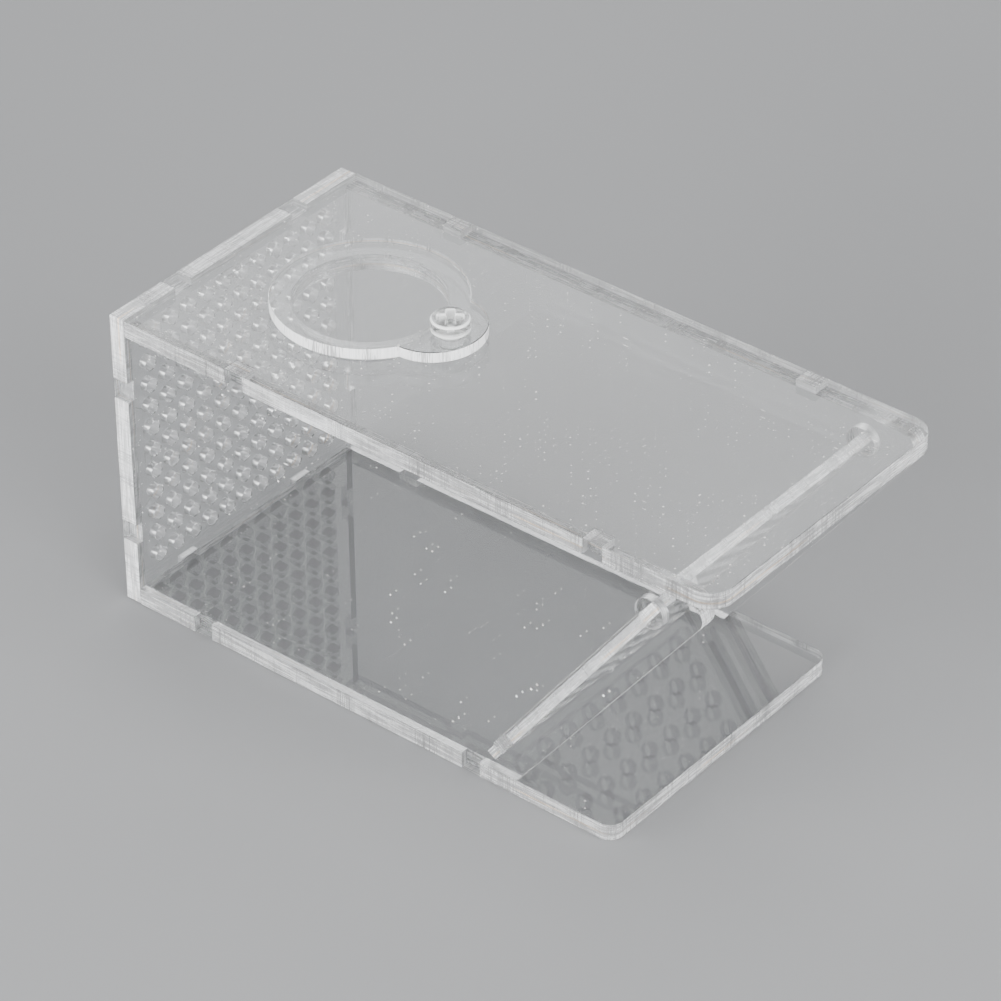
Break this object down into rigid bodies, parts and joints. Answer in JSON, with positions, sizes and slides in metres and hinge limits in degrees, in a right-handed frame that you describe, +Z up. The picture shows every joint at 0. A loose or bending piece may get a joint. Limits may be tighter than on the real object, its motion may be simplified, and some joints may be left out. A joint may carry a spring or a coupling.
{
  "type": "queen cage",
  "caption": "Clear sheet-plastic queen bee cage: perforated end plate, round feed hole under a swivelling screwed cover, and a sloping perforated one-way flap gate over a doorstep.",
  "frame": {"origin": "middle of the bounding box's underside, on the plane the cage stands on", "axes": "+X along the cage from the perforated end plate to the gate, +Y across it from the front wall to the back wall, +Z up"},
  "size_m": [0.1194, 0.056, 0.0599],
  "materials": {
    "clear_sheet": "clear cast acrylic, polished faces, frosted cut edges",
    "perforated_sheet": "clear cast acrylic, polished faces, frosted hole walls",
    "gate_sheet": "clear cast acrylic, polished faces, frosted hole walls",
    "cover_sheet": "clear cast acrylic, polished faces, frosted rim",
    "clear_screw": "clear moulded plastic, glossy"
  },
  "bodies": {
    "root": {"end_plate": "perforated_sheet", "top_plate": "clear_sheet", "bottom_plate": "clear_sheet", "front_wall": "clear_sheet", "back_wall": "clear_sheet", "pivot_screw": "clear_screw"},
    "gate": {"gate": "gate_sheet"},
    "hole_cover": {"hole_cover": "cover_sheet"}
  },
  "joints": [
    {"name": "gate_hinge", "type": "hinge", "parent": "root", "child": "gate", "pos_m": [0.04755, 0, 0.0473], "axis": [0, 1, 0], "range_deg": [0, 57]},
    {"name": "cover_pivot", "type": "hinge", "parent": "root", "child": "hole_cover", "pos_m": [-0.01325, 0, 0.05655], "axis": [0, 0, 1], "continuous": true}
  ]
}
